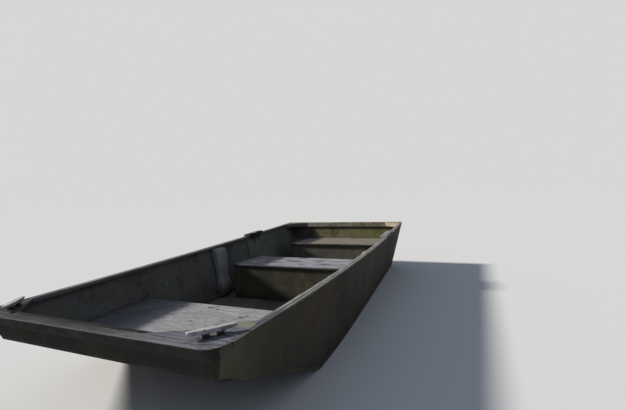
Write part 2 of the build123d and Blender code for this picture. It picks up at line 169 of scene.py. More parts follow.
# Marks that show in the photograph: place and half size along the boat and across it, or up it on the side
DECK_MARKS = ((0.766, -0.082, 0.010, 0.020), (0.785, -0.026, 0.007, 0.012), (0.777, -0.233, 0.005, 0.009),
              (0.958, -0.048, 0.005, 0.014), (0.852, 0.159, 0.010, 0.018))
THWART_MARKS = ((-0.130, 0.000, 0.020, 0.080), (-0.262, 0.030, 0.014, 0.050), (-0.040, 0.290, 0.014, 0.050),
                (-0.050, -0.090, 0.012, 0.040), (-0.160, 0.200, 0.014, 0.045), (-0.010, 0.120, 0.010, 0.045))
SIDE_CHIPS = ((1.160, 0.297, 0.006, 0.005), (1.020, 0.238, 0.003, 0.014), (1.040, 0.222, 0.012, 0.003),
              (0.620, 0.220, 0.009, 0.005), (0.555, 0.236, 0.008, 0.012), (1.135, 0.198, 0.008, 0.006),
              (1.075, 0.214, 0.007, 0.004))
# Where the marked faces lie, and how deep a mark goes into them
SIDE_CHIPS_Y, THWART_Z, DECK_Z = -0.5, 0.272, 0.187
MARK_DEPTH = 0.3

# Shading: cosines at which a face counts as a top, and shares that count as an edge, a corner or a spot
TOP, FLAT_TOP = (0.45, 0.75), (0.60, 0.85)
FLAT_TO_EDGE = (0.995, 0.90)
OPEN_TO_CORNER = (0.85, 0.35)
SPOT_RIM, SPOT_HEART = 1.15, 0.70
GRAIN_STRETCH, CRACK_STRETCH, PLY_STRETCH = 26.0, 90.0, 18.0
PAINT_GLOSS, CAST_GLOSS, NAIL_GLOSS = 0.05, 0.2, 0.1
CAST_METALLIC = 0.20

# Depth of relief in the finishes
GRAIN_RELIEF, CRACK_RELIEF, LAYER_RELIEF = 0.0006, 0.0012, 0.0010
PLY_RELIEF, BRUSH_RELIEF, CHIP_RELIEF = 0.0008, 0.0003, 0.0006
GRIT_RELIEF, NAIL_RELIEF = 0.0004, 0.0002

# Mesh work
WELD = 1e-5
FLAT_ANGLE = math.radians(0.4)
SHARP_ANGLE = math.radians(28)
PANEL_EDGE = 0.0014
RUB_FACTOR, RUB_STEPS, METAL_RUB_STEPS, POST_RUB_STEPS = 0.5, 3, 2, 6
KEPT_FACES = 0.4
DENT_SIZE = 0.045

# Pieces carved from the solids: voxel and depth of the dents
CARVED = {
    "side_frame": (0.0030, 0.0014), "bow_rub_rail": (0.0022, 0.0014), "bow_inner_rail": (0.0022, 0.0014),
    "stern_rail": (0.0030, 0.0016), "inwale": (0.0028, 0.0016), "rowlock_pad": (0.0020, 0.0014),
    "bow_gusset": (0.0020, 0.0014), "quarter_knee": (0.0030, 0.0020), "thwart_top": (0.0036, 0.0016),
    "stern_seat_top": (0.0040, 0.0016), "bow_cleat": (0.0010, 0.0008), "rowlock_socket": (0.0009, 0.0003)}

# Small shifts of shape that the photograph shows
GUSSET_TIP_X, GUSSET_TIP_Y, GUSSET_SLOPE = 1.485, 0.230, 0.620
GUSSET_DARK_FROM, GUSSET_DARK_FULL = 0.016, 0.008
GUSSET_AFT_END, GUSSET_REACH, GUSSET_LIFT = 0.08, 0.033, 0.0012
POST_PLACE, POST_FOOT_AHEAD, POST_WAIST_AFT = -0.003, 0.022, 0.012
POST_WIDENED, POST_HALF_WAIST, POST_HALF_HEAD = 2.3, 0.058, 0.068
POST_BACK, POST_LEAN, POST_FOOT_THIN = 0.590, 0.12, 0.15
POST_FOOT_HEIGHTS, POST_HEAD_HEIGHTS = (0.20, 0.03), (0.24, 0.38)
SEAT_PORT_REACH = 0.040
CLEAT_FULLER = 0.0010

# Nail and screw heads: radius, rise, and their profile as shares of both
NAIL_RADIUS, NAIL_RISE, FLUSH_RISE = 0.0042, 0.0007, 0.0003
SCREW_HEAD = (0.0036, 0.0011)
HEAD_PROFILE = ((1.0, -0.5), (0.92, 0.45), (0.55, 0.9))
HEAD_SIDES = 10

# Rows of nails: first place, last place and step
SHEER_ROW, CHINE_ROW, STERN_ROW = (-1.40, 1.40, 0.150), (-1.34, 1.40, 0.110), (0.06, 0.42, 0.07)
TRANSOM_ROW, BOW_ROW = (-0.50, 0.50, 0.125), (-0.48, 0.48, 0.120)
BOTTOM_ROW, BOTTOM_CROSS_ROW = (-1.35, 0.75, 0.10), (-0.48, 0.48, 0.12)
SEAT_NAIL_STEP = 0.115
# Piece, the top that it is on, the rows along the boat and half their length
SEAT_ROWS = (("thwart_nails", "thwart_top", (0.034, -0.262), 0.41),
             ("stern_seat_nails", "stern_seat_top", (-1.012,), 0.41),
             ("platform_nails", "platform_deck", (0.735,), 0.52))

# Where the rows lie
BELOW_SHEER, ABOVE_CHINE = 0.011, 0.014
STERN_TOP_X, STERN_TOP_Z, STERN_RAKE = -1.500, 0.468, 0.21
TRANSOM_HEIGHTS, BOW_HEIGHTS = (0.045, 0.435), (0.272, 0.350)
BOTTOM_HALF, BOTTOM_CROSSES = 0.538, (-1.395, 0.845, 0.868)
CLEAT_SCREW_X, CLEAT_SCREW_Y, PLATE_SCREW_INSET = 0.024, 0.010, 0.008

# Rays that find the wood under a head
RAY_REACH = 2.0
OVER_HULL, SEARCH_STEP, SEARCH_STEPS = 0.48, 0.001, 300
DOWN, UP = Vector((0, 0, -1)), Vector((0, 0, 1))
AHEAD, ASTERN = Vector((1, 0, 0)), Vector((-1, 0, 0))


def configured(thing, **settings):
    """The same thing, with those settings made."""
    for name, value in settings.items():
        setattr(thing, name, value)
    return thing


class Look:
    """One procedural material, with short ways to add and join its nodes."""

    def __init__(self, name):
        self.material = bpy.data.materials.new(name)
        self.material.use_nodes = True
        self.tree = self.material.node_tree
        self.tree.nodes.clear()
        spot = self.add("ShaderNodeTexCoord")
        self.place, self.normal = spot.outputs["Object"], spot.outputs["Normal"]

    def add(self, kind, inputs=None, **settings):
        """A node with those settings, whose inputs are values or other nodes' outputs."""
        node = configured(self.tree.nodes.new(kind), **settings)
        for name, value in (inputs or {}).items():
            if isinstance(value, bpy.types.NodeSocket):
                self.tree.links.new(value, node.inputs[name])
            else:
                node.inputs[name].default_value = value
        return node

    def stretched(self, x, y, z, shift=0.0):
        """The place, scaled along each axis; a small scale gives long features."""
        inputs = {"Vector": self.place, "Scale": (x, y, z), "Location": (shift, shift, shift)}
        return self.add("ShaderNodeMapping", inputs).outputs["Vector"]

    def along(self, letter, stretch=GRAIN_STRETCH):
        """The place, stretched so that a texture runs along that axis."""
        scales = {"X": (1, stretch, stretch), "Y": (stretch, 1, stretch), "Z": (stretch, stretch, 1)}
        return self.stretched(*scales[letter])

    def noise(self, scale, detail=4.0, rough=0.55, vector=None, warp=0.0):
        """Noise with that many features to a metre."""
        inputs = {"Vector": vector or self.place, "Scale": scale, "Detail": detail, "Roughness": rough,
                  "Distortion": warp}
        return self.add("ShaderNodeTexNoise", inputs).outputs[0]

    def cells(self, scale):
        return self.add("ShaderNodeTexVoronoi", {"Vector": self.place, "Scale": scale}).outputs["Distance"]

    def between(self, value, low, high, to_low=0.0, to_high=1.0):
        """Smooth step of value from low to high."""
        inputs = {"Value": value, "From Min": low, "From Max": high, "To Min": to_low, "To Max": to_high}
        return self.add("ShaderNodeMapRange", inputs, interpolation_type="SMOOTHSTEP").outputs["Result"]

    def patches(self, scale, low, high, share=1.0, detail=5.0, rough=0.7, vector=None, warp=0.0):
        """Ragged patches: 0 where noise lies below low, and a share of 1 above high."""
        return self.between(self.noise(scale, detail, rough, vector, warp), low, high, 0.0, share)

    def band(self, value, begins, full, thins, ends):
        """1 in a band of value, fading to 0 on both sides of it."""
        return self.times(self.between(value, begins, full), self.between(value, ends, thins))

    def math(self, operation, first, second=0.0):
        return self.add("ShaderNodeMath", {0: first, 1: second}, operation=operation).outputs[0]

    def times(self, *values):
        return reduce(partial(self.math, "MULTIPLY"), values)

    def most(self, *values):
        return reduce(partial(self.math, "MAXIMUM"), values)

    def inverse(self, value):
        return self.math("SUBTRACT", 1.0, value)

    def axis(self, vector, letter):
        return self.add("ShaderNodeSeparateXYZ", {0: vector}).outputs[letter]

    def at(self, letter):
        """Place along one axis of the boat."""
        return self.axis(self.place, letter)

    def wavering(self, letter, scale, depth):
        """Place along one axis of the boat, so uneven that a line drawn by it wavers."""
        return self.math("ADD", self.at(letter), self.times(self.noise(scale), depth))

    def facing(self, letter, low, high):
        """1 where the face looks along an axis, 0 where it doesn't."""
        return self.between(self.axis(self.normal, letter), low, high)

    def where(self, letter, begins, full, share=1.0):
        """0 to a share of 1 along an axis of the boat, between two places."""
        return self.between(self.at(letter), begins, full, 0.0, share)

    def mix(self, share, first, second):
        inputs = {0: share, 6: first, 7: second}
        return self.add("ShaderNodeMix", inputs, data_type="RGBA", blend_type="MIX").outputs[2]

    def blot(self, centre, reach, ragged, grain):
        """1 inside a ragged spot of that place and half size, 0 outside it."""
        inputs = {"Vector": self.place, "Scale": [1 / half for half in reach],
                  "Location": [-middle / half for middle, half in zip(centre, reach)]}
        scaled = self.add("ShaderNodeMapping", inputs).outputs["Vector"]
        away = self.add("ShaderNodeVectorMath", {0: scaled}, operation="LENGTH").outputs["Value"]
        frayed = self.math("ADD", away, self.times(self.noise(grain, 3.0, 0.6), 2 * ragged))
        return self.between(frayed, SPOT_RIM + ragged, SPOT_HEART + ragged)

    def edges(self, radius):
        """1 at the edges of the mesh, 0 away from them."""
        rounded = self.add("ShaderNodeBevel", {"Radius": radius}, samples=6).outputs["Normal"]
        true = self.add("ShaderNodeNewGeometry").outputs["Normal"]
        dot = self.add("ShaderNodeVectorMath", {0: rounded, 1: true}, operation="DOT_PRODUCT")
        return self.between(dot.outputs["Value"], *FLAT_TO_EDGE)

    def corners(self, reach):
        """1 in inside corners, 0 in the open."""
        node = self.add("ShaderNodeAmbientOcclusion", {"Distance": reach}, samples=8)
        return self.between(node.outputs["AO"], *OPEN_TO_CORNER)

    def bump(self, height, distance, strength, normal=None):
        inputs = {"Height": height, "Distance": distance, "Strength": strength}
        if normal:
            inputs["Normal"] = normal
        return self.add("ShaderNodeBump", inputs).outputs["Normal"]

    def finish(self, colour, rough, normal, metallic=0.0, gloss=PAINT_GLOSS):
        inputs = {"Base Color": colour, "Roughness": rough, "Normal": normal, "Metallic": metallic,
                  "Specular IOR Level": gloss}
        shader = self.add("ShaderNodeBsdfPrincipled", inputs)
        self.add("ShaderNodeOutputMaterial", {"Surface": shader.outputs["BSDF"]})
        return self.material


# Layers that several materials share
def old_paint(look, tones, runs_down=0.9):
    """Old matt paint: cloudy, with faint runs down it and fine scuffs."""
    clouds = look.patches(2.3, 0.36, 0.64, rough=0.6, warp=0.5)
    colour = look.mix(clouds, tones["dark"], tones["mid"])
    runs = look.patches(1.0, 0.50, 0.74, 0.55, rough=0.6, vector=look.stretched(8, 8, runs_down))
    colour = look.mix(runs, colour, tones["pale"])
    thin = look.stretched(38, 38, 2 * runs_down, 3.0)
    drips = look.patches(1.0, 0.56, 0.76, 0.40, detail=4.0, vector=thin)
    colour = look.mix(drips, colour, tones["dark"])
    scuffs = look.patches(170.0, 0.58, 0.76, 0.30, detail=3.0, rough=0.75)
    return look.mix(scuffs, colour, tones["pale"])


def wood_grain(look, along):
    return look.noise(7.0, 6.0, 0.62, look.along(along))


def wood_cracks(look, along, low, share=1.0):
    return look.patches(3.0, low, 0.70, share, 3.0, 0.5, look.along(along, CRACK_STRETCH))


def weathered_wood(look, tones, along, cracks=0.8):
    """Bleached bare wood: grain lines, dark cracks and mildew."""
    streaks = look.between(wood_grain(look, along), 0.37, 0.65)
    colour = look.mix(streaks, tones["mid"], tones["pale"])
    colour = look.mix(wood_cracks(look, along, 0.61, cracks), colour, tones["dark"])
    specks = look.patches(30.0, 0.54, 0.66, detail=6.0, rough=0.75)
    some = look.patches(3.6, 0.44, 0.64, 0.65, detail=3.0, rough=0.6)
    return look.mix(look.times(specks, some), colour, MILDEW_AND_SHADE)


def wood_bump(look, along, extra=None):
    """Relief of bare wood: raised grain, sunk cracks and what lies over them."""
    normal = look.bump(wood_grain(look, along), GRAIN_RELIEF, 0.5)
    normal = look.bump(look.inverse(wood_cracks(look, along, 0.60)), CRACK_RELIEF, 0.6, normal)
    if extra:
        normal = look.bump(extra, LAYER_RELIEF, 0.5, normal)
    return normal


def paint_bump(look, along, flaws):
    """Ply grain telegraphing through brushed paint, and the step at its chips."""
    ply = look.noise(9.0, 6.0, 0.6, look.along(along, PLY_STRETCH))
    brush = look.noise(60.0, 3.0, 0.6, look.along(along, 6.0))
    normal = look.bump(ply, PLY_RELIEF, 0.35)
    normal = look.bump(brush, BRUSH_RELIEF, 0.35, normal)
    return look.bump(look.inverse(flaws), CHIP_RELIEF, 0.6, normal)


# Dirt and painted shade in inside corners, laid where ambient occlusion finds them
def dirt_and_shade_in_corners(look, colour, reach, share=0.8):
    ragged = look.patches(38.0, 0.28, 0.60)
    return look.mix(look.times(look.corners(reach), ragged, share), colour, DIRT_AND_SHADE)


def edge_wear(look, radius=0.004, share=0.9):
    """0 to a share of 1 along the edges, in ragged stretches."""
    ragged = look.patches(48.0, 0.42, 0.58, rough=0.75)
    return look.times(look.edges(radius), ragged, share)


def chips(look, scale, low, high):
    """Small chips, more of them in some patches than in others."""
    spots = look.between(look.cells(scale), 0.15, 0.08)
    some = look.patches(0.55 * scale, 0.52, 0.60, detail=1.0, rough=0.55)
    broad = look.patches(2.6, low, high, detail=3.0, rough=0.6, vector=look.stretched(1, 1, 1, 5.0))
    return look.times(spots, some, broad)


def dull(look, low=0.62, high=0.88, scale=18.0):
    """Uneven roughness between two values."""
    return look.between(look.noise(scale, 5.0, 0.65), 0.35, 0.70, low, high)


# Materials
def side_outside(look):
    """Outer face of the side sheets: grey-brown, greener ahead and dirty low down."""
    colour = old_paint(look, OUTER)
    brown = look.patches(3.4, 0.52, 0.68, 0.50, vector=look.stretched(1, 1, 0.45, 2.0))
    colour = look.mix(brown, colour, BROWN)
    green = look.patches(3.6, 0.34, 0.60, vector=look.stretched(1, 1, 0.5, 8.0))
    colour = look.mix(look.times(green, look.where("X", *GREEN_AHEAD)), colour, ALGAE_DARK)
    splash = look.times(look.where("Z", *SPLASHED_LOW), look.patches(12.0, 0.3, 0.6, detail=6.0))
    return look.mix(look.times(splash, 0.75), colour, DIRT_AND_SHADE)


def side_flaws(look):
    """Bare spots inside the side sheets: small chips, the marks that show, and a scuffed line."""
    bare = chips(look, 44.0, 0.46, 0.62)
    for x, z, half_long, half_high in SIDE_CHIPS:
        spot = look.blot((x, SIDE_CHIPS_Y, z), (half_long, MARK_DEPTH, half_high), 0.25, 160.0)
        bare = look.most(bare, spot)
    line = look.band(look.wavering("Z", 7.0, 0.022), *SCUFFED_HEIGHT)
    line = look.times(line, look.band(look.at("X"), *SCUFFED_LENGTH))
    line = look.times(line, look.patches(30.0, 0.38, 0.54, rough=0.8))
    return look.most(bare, look.times(line, 0.7))


def side_inside(look, bare):
    """Inner face of the side sheets: damp in places, chipped, and dirty with painted shade in its corners.
    """
    colour = old_paint(look, INNER)
    darkened = look.patches(5.0, 0.46, 0.66, 0.55, detail=6.0, vector=look.stretched(1, 1, 1, 4.0))
    colour = look.mix(darkened, colour, ALGAE_DARK)
    colour = look.mix(look.times(bare, 0.85), colour, CHIP)
    return dirt_and_shade_in_corners(look, colour, 0.07, 0.85)


def hull_paint():
    """Side sheets: painted in and out, bleached on the top edge and rubbed along it."""
    look = Look("hull_paint")
    outboard = look.times(look.axis(look.normal, "Y"), look.math("SIGN", look.at("Y")))
    outside = look.between(outboard, -0.1, 0.2)
    bare = side_flaws(look)
    colour = look.mix(outside, side_inside(look, bare), side_outside(look))
    top = weathered_wood(look, RAIL, "X")
    # Painted shade: the forward end of the top turns blue-grey
    top = look.mix(look.where("X", *BLUE_SHADE_AHEAD), top, SHADE_BLUE_GREY)
    colour = look.mix(look.times(look.facing("Z", 0.55, 0.80), 0.9), colour, top)
    # Forward faces take the deep painted shade of the bow board
    colour = look.mix(look.facing("X", 0.5, 0.8), colour, DEEP_SHADE["mid"])
    wear = look.times(look.edges(0.004), look.where("X", *WORN_AFT), 0.85)
    strip = look.times(look.where("Z", *STRIP_HIGH), look.where("X", *STRIP_AFT))
    strip = look.times(look.edges(0.020), outside, strip, 0.7)
    ragged = look.patches(30.0, 0.32, 0.56, rough=0.75)
    wear = look.times(look.most(wear, strip), ragged)
    colour = look.mix(wear, colour, RAIL_EDGE)
    normal = paint_bump(look, "X", look.most(bare, wear))
    return look.finish(colour, dull(look, 0.78, 0.95), normal)


def lining_paint():
    """Doubled side sheets by the rowlocks, a little paler than the sides."""
    look = Look("lining_paint")
    colour = look.mix(look.patches(4.0, 0.46, 0.68, 0.4, detail=6.0), old_paint(look, LINING), ALGAE_DARK)
    bare = chips(look, 50.0, 0.48, 0.64)
    colour = look.mix(look.times(bare, 0.8), colour, CHIP)
    colour = dirt_and_shade_in_corners(look, colour, 0.06, 0.85)
    wear = edge_wear(look, 0.003, 0.7)
    colour = look.mix(wear, colour, OUTER["pale"])
    normal = paint_bump(look, "X", look.most(bare, wear))
    return look.finish(colour, dull(look, 0.78, 0.95), normal)


def frame_paint():
    """Side frames: pale lavender grey paint, with a brown damp foot."""
    look = Look("frame_paint")
    colour = old_paint(look, LAVENDER, 2.4)
    foot = look.times(look.where("Z", *DAMP_FOOT), look.patches(14.0, 0.26, 0.52))
    colour = look.mix(foot, colour, BROWN)
    bare = chips(look, 70.0, 0.44, 0.62)
    colour = look.mix(look.times(bare, 0.7), colour, RAIL["mid"])
    colour = dirt_and_shade_in_corners(look, colour, 0.03, 0.4)
    return look.finish(colour, dull(look, 0.80, 0.96), paint_bump(look, "Z", bare))


def bottom_paint():
    """Inside floor and underside: scuffed dark paint with grit and silt."""
    look = Look("bottom_paint")
    scrapes = look.patches(5.0, 0.56, 0.68, 0.7, vector=look.along("X", 30.0))
    under = look.mix(scrapes, old_paint(look, OUTER), OUTER["pale"])
    # The underside ahead takes the deep painted shade of the bow
    under = look.mix(look.where("X", *DEEP_SHADE_AHEAD), under, DEEP_SHADE["mid"])
    silt = look.patches(4.0, 0.42, 0.66, 0.60, detail=7.0, rough=0.72)
    inside = look.mix(silt, old_paint(look, INNER), DIRT_AND_SHADE)
    darkened = look.patches(6.0, 0.50, 0.70, 0.6, detail=6.0, warp=0.6)
    inside = look.mix(darkened, inside, ALGAE_DARK)
    inside = dirt_and_shade_in_corners(look, inside, 0.08, 0.9)
    colour = look.mix(look.facing("Z", 0.2, 0.6), under, inside)
    wear = edge_wear(look, share=0.35)
    colour = look.mix(wear, colour, OUTER["pale"])
    grit = look.noise(320.0, 3.0, 0.8)
    normal = look.bump(grit, GRIT_RELIEF, 0.30, paint_bump(look, "X", wear))
    return look.finish(colour, dull(look, 0.50, 0.85, 7.0), normal)


def bleached_to_port(look):
    """Ragged share of bleached wood on the cap of the bow, more of it to port."""
    streaks = look.patches(16.0, 0.30, 0.60, detail=6.0, rough=0.75, vector=look.along("Y", 5.0))
    return look.times(streaks, look.where("Y", *BLEACHED_PORT))


def bow_paint():
    """Bow board: paint darkened to deep painted shade, with a reddish seam under the rub rail to port."""
    look = Look("bow_paint")
    colour = look.mix(look.patches(3.0, 0.48, 0.66, 0.4), old_paint(look, DEEP_SHADE), ALGAE_DARK)
    seam = look.band(look.at("Z"), *SEAM_HEIGHT)
    seam = look.times(seam, look.facing("X", 0.3, 0.6), look.where("Y", *SEAM_PORT))
    colour = look.mix(seam, colour, RED_SEAM)
    up = look.facing("Z", *FLAT_TOP)
    colour = look.mix(look.times(up, 0.9), colour, weathered_wood(look, BOW_RAIL, "Y"))
    colour = look.mix(look.times(up, bleached_to_port(look)), colour, EDGE_GREY)
    colour = dirt_and_shade_in_corners(look, colour, 0.03)
    inner_edge = look.times(look.where("X", *BOARD_INSIDE), look.facing("Z", 0.2, 0.5))
    inner_edge = look.times(look.edges(0.005), inner_edge)
    ragged = look.patches(34.0, 0.34, 0.52, rough=0.75)
    colour = look.mix(look.times(inner_edge, ragged), colour, EDGE_GREY)
    return look.finish(colour, dull(look, 0.80, 0.96), paint_bump(look, "Y", inner_edge))


def rub_rail_wood():
    """Rub rail across the bow: paint darkened to deep painted shade, grey on top, with a pale worn outer
    edge.
    """
    look = Look("rub_rail_wood")
    up = look.facing("Z", *TOP)
    colour = look.mix(up, old_paint(look, DEEP_SHADE), weathered_wood(look, BOW_RAIL, "Y"))
    outer_edge = look.times(look.edges(0.006), look.where("X", *RUB_RAIL_OUTSIDE))
    ragged = look.patches(30.0, 0.32, 0.50, rough=0.75)
    colour = look.mix(look.times(outer_edge, ragged), colour, EDGE_GREY)
    colour = look.mix(look.times(up, bleached_to_port(look)), colour, EDGE_GREY)
    chipped = look.times(look.patches(55.0, 0.60, 0.66, 0.6), up)
    colour = look.mix(chipped, colour, BOW_RAIL["dark"])
    colour = dirt_and_shade_in_corners(look, colour, 0.012)
    return look.finish(colour, dull(look), wood_bump(look, "Y"))


def inner_rail_wood():
    """Rail inside the bow board: nearly black all over, a painted shade."""
    look = Look("inner_rail_wood")
    colour = look.mix(0.96, weathered_wood(look, BOW_RAIL, "Y"), DEEP_SHADE["dark"])
    colour = dirt_and_shade_in_corners(look, colour, 0.02)
    return look.finish(colour, dull(look), wood_bump(look, "Y"))


def transom_paint():
    """Transom: grey outside, olive with algae on its inner face, with mildew and painted shade under the
    starboard knee.
    """
    look = Look("transom_paint")
    algae = look.mix(look.patches(5.0, 0.34, 0.60, detail=6.0, warp=0.5), ALGAE_DARK, ALGAE)
    streaks = look.patches(1.0, 0.44, 0.64, 0.6, vector=look.stretched(22, 22, 3.0))
    algae = look.mix(streaks, algae, PINKISH["mid"])
    algae = look.mix(look.times(look.blot(*MOSS_SPOT, 0.6, 14.0), 0.4), algae, MOSS)
    # Mildew and painted shade under the starboard knee
    algae = look.mix(look.times(look.blot(*MILDEW_AND_SHADE_SPOT, 0.4, 9.0), 0.7), algae, MILDEW_AND_SHADE)
    colour = look.mix(look.facing("X", 0.1, 0.4), old_paint(look, OUTER), algae)
    up = look.times(look.facing("Z", *FLAT_TOP), 0.9)
    colour = look.mix(up, colour, weathered_wood(look, RAIL, "Y"))
    colour = dirt_and_shade_in_corners(look, colour, 0.04)
    wear = edge_wear(look, share=0.8)
    colour = look.mix(wear, colour, RAIL["pale"])
    return look.finish(colour, dull(look, 0.55, 0.85), paint_bump(look, "Y", wear))


def rail_wood(name, along, tones, under):
    """Timber strip, painted on its sides and bleached where it faces the sky."""
    look = Look(name)
    streaky = look.along(along, 5.0)
    paint_left = look.patches(13.0, 0.52, 0.62, 0.5, detail=6.0, rough=0.72, vector=streaky)
    top = look.mix(paint_left, weathered_wood(look, tones, along), tones["mid"])
    # Painted shade: the forward end of the top turns blue-grey
    top = look.mix(look.where("X", *BLUE_SHADE_AHEAD), top, SHADE_BLUE_GREY)
    colour = look.mix(look.facing("Z", *TOP), old_paint(look, under), top)
    green = look.patches(8.0, 0.58, 0.72, 0.4, detail=6.0, vector=look.stretched(1, 1, 1, 6.0))
    colour = look.mix(green, colour, ALGAE)
    colour = dirt_and_shade_in_corners(look, colour, 0.008, 0.4)
    wear = edge_wear(look, 0.003, look.where("X", *WORN_AFT, 0.85))
    colour = look.mix(wear, colour, tones["pale"])
    return look.finish(colour, dull(look), wood_bump(look, along, look.inverse(paint_left)))


def stern_rail_wood():
    """Rail inside the transom: bleached, with a brown mottled stretch beside the port knee."""
    look = Look("stern_rail_wood")
    dark = look.patches(13.0, 0.48, 0.60, 0.6, detail=6.0, rough=0.8, vector=look.stretched(1, 1, 1, 2.0))
    colour = look.mix(dark, weathered_wood(look, STERN_RAIL, "Y"), STERN_RAIL["dark"])
    mottle = look.patches(24.0, 0.42, 0.58, detail=6.0, rough=0.8, vector=look.stretched(1, 1, 1, 5.0))
    brown = look.times(mottle, look.blot(*BROWN_SPOT, 0.4, 22.0), 0.85)
    colour = look.mix(brown, colour, BROWN)
    green = look.patches(8.0, 0.48, 0.66, 0.5, detail=6.0, vector=look.stretched(1, 1, 1, 6.0))
    colour = look.mix(green, colour, ALGAE)
    colour = dirt_and_shade_in_corners(look, colour, 0.012)
    colour = look.mix(edge_wear(look, 0.006, 0.8), colour, STERN_RAIL["pale"])
    return look.finish(colour, dull(look), wood_bump(look, "Y", mottle))


def gusset_wood():
    """Port corner plate: blue-grey painted shade, yellow lichen, and a dark reddish edge that faces the
    stern.
    """
    look = Look("gusset_wood")
    fine = look.between(look.noise(60.0, 6.0, 0.8), 0.30, 0.56, 0.25)
    patch = look.patches(6.0, 0.50, 0.64, 0.5, detail=4.0, rough=0.6, vector=look.stretched(1, 1, 1, 9.0))
    seen = [look.blot(*spot, 0.5, 30.0) for spot in LICHEN_SPOTS]
    lichen = look.times(look.most(patch, *seen), fine)
    top = look.mix(look.times(lichen, 0.8), weathered_wood(look, GUSSET, "Y"), LICHEN)
    # A sum that is the same all along the plate's slanting edge
    slant = look.math("ADD", look.at("X"), look.times(look.at("Y"), GUSSET_SLOPE))
    edge = GUSSET_TIP_X + GUSSET_SLOPE * GUSSET_TIP_Y
    dark_edge = look.between(slant, edge + GUSSET_DARK_FROM, edge + GUSSET_DARK_FULL)
    dark_edge = look.times(dark_edge, look.where("Y", *GUSSET_EDGE_INBOARD))
    top = look.mix(dark_edge, top, RED_SEAM)
    side = look.mix(look.facing("X", -0.2, -0.5), GUSSET["dark"], RED_SEAM)
    colour = look.mix(look.facing("Z", *TOP), side, top)
    colour = dirt_and_shade_in_corners(look, colour, 0.02)
    colour = look.mix(edge_wear(look, 0.003, 0.3), colour, GUSSET["pale"])
    normal = wood_bump(look, "Y", look.noise(75.0, 6.0, 0.8))
    return look.finish(colour, dull(look, 0.70, 0.92), normal)


def shaded_gusset_wood():
    """Starboard corner plate: painted shade in dark tones, with a pale worn inboard edge."""
    look = Look("shaded_gusset_wood")
    colour = look.mix(0.55, weathered_wood(look, BOW_RAIL, "Y"), DEEP_SHADE["mid"])
    ragged = look.patches(26.0, 0.30, 0.50, rough=0.75)
    rubbed = look.times(look.edges(0.007), look.where("Y", *DARK_GUSSET_INBOARD), ragged)
    colour = look.mix(look.times(rubbed, 0.9), colour, GUSSET["pale"])
    outer_end = look.times(look.blot(*GREY_END, 0.4, 40.0), ragged)
    colour = look.mix(look.times(outer_end, 0.5), colour, GUSSET["mid"])
    colour = dirt_and_shade_in_corners(look, colour, 0.02)
    return look.finish(colour, dull(look, 0.66, 0.90), wood_bump(look, "Y"))


def knee_wood(name, tones):
    """Quarter knee: speckled and weathered, with fewer cracks on its faces than on its top."""
    look = Look(name)
    speckle = look.patches(55.0, 0.54, 0.64, 0.7, rough=0.75)
    face, top = [look.mix(speckle, weathered_wood(look, tones, "Y", cracks), tones["dark"])
                 for cracks in (0.5, 0.8)]
    colour = look.mix(look.facing("Z", *TOP), face, top)
    colour = dirt_and_shade_in_corners(look, colour, 0.02)
    colour = look.mix(edge_wear(look, 0.003, 0.7), colour, tones["pale"])
    return look.finish(colour, dull(look, 0.66, 0.90), wood_bump(look, "Y"))


def worn_top(name, tones, darkened, marks=(), height=0.0):
    """Seat or platform top: bleached ply, grain across the boat, with a band of painted shadow toward
    starboard.
    """
    look = Look(name)
    wide = look.stretched(2.2, 1, 1)
    broad = look.patches(4.6, 0.42, 0.58, detail=8.0, rough=0.72, vector=wide, warp=0.5)
    flakes = look.patches(34.0, 0.40, 0.58, detail=6.0, rough=0.75, vector=look.stretched(2.5, 1, 1))
    paint_left = look.times(broad, flakes)
    top = look.mix(look.times(paint_left, 0.55), weathered_wood(look, tones, "Y", 0.6), tones["mid"])
    # Tone, scale, low, high, share, detail, roughness, stretch along the boat and shift
    for tone, scale, low, high, share, detail, rough, stretch, shift in (
            ("pale", 9.0, 0.54, 0.66, 0.7, 7.0, 0.75, 3.0, 2.0),
            ("dark", 2.4, 0.54, 0.74, 0.45, 6.0, 0.7, 1.0, 7.0),
            ("dark", 11.0, 0.56, 0.66, 0.5, 7.0, 0.78, 2.4, 4.0)):
        streaks = look.patches(scale, low, high, share, detail, rough, look.stretched(stretch, 1, 1, shift))
        top = look.mix(streaks, top, tones[tone])
    if marks:
        spots = [look.blot((x, y, height), (half_long, half_wide, MARK_DEPTH), 0.45, 120.0)
                 for x, y, half_long, half_wide in marks]
        top = look.mix(look.times(look.most(*spots), 0.9), top, MILDEW_AND_SHADE)
    # Painted shadow: a blue-grey band darkens the starboard part of the top
    band, darkest = darkened
    wide = look.stretched(1.6, 1, 1)
    ragged = look.patches(9.0, 0.22, 0.44, detail=6.0, rough=0.75, vector=wide, warp=0.6)
    top = look.mix(look.times(look.band(look.at("Y"), *band), ragged, darkest), top, PAINTED_SHADOW)
    edge = look.mix(look.between(wood_grain(look, "Y"), 0.35, 0.65), RAIL["dark"], tones["mid"])
    colour = look.mix(look.facing("Z", *TOP), edge, top)
    colour = dirt_and_shade_in_corners(look, colour, 0.09, 0.9)
    ragged = look.patches(48.0, 0.38, 0.56, rough=0.75)
    wear = look.times(look.edges(0.008), ragged, look.where("Y", *TOP_EDGE_PORT))
    colour = look.mix(wear, colour, tones["pale"])
    return look.finish(colour, dull(look, 0.68, 0.92), wood_bump(look, "Y", look.inverse(paint_left)))


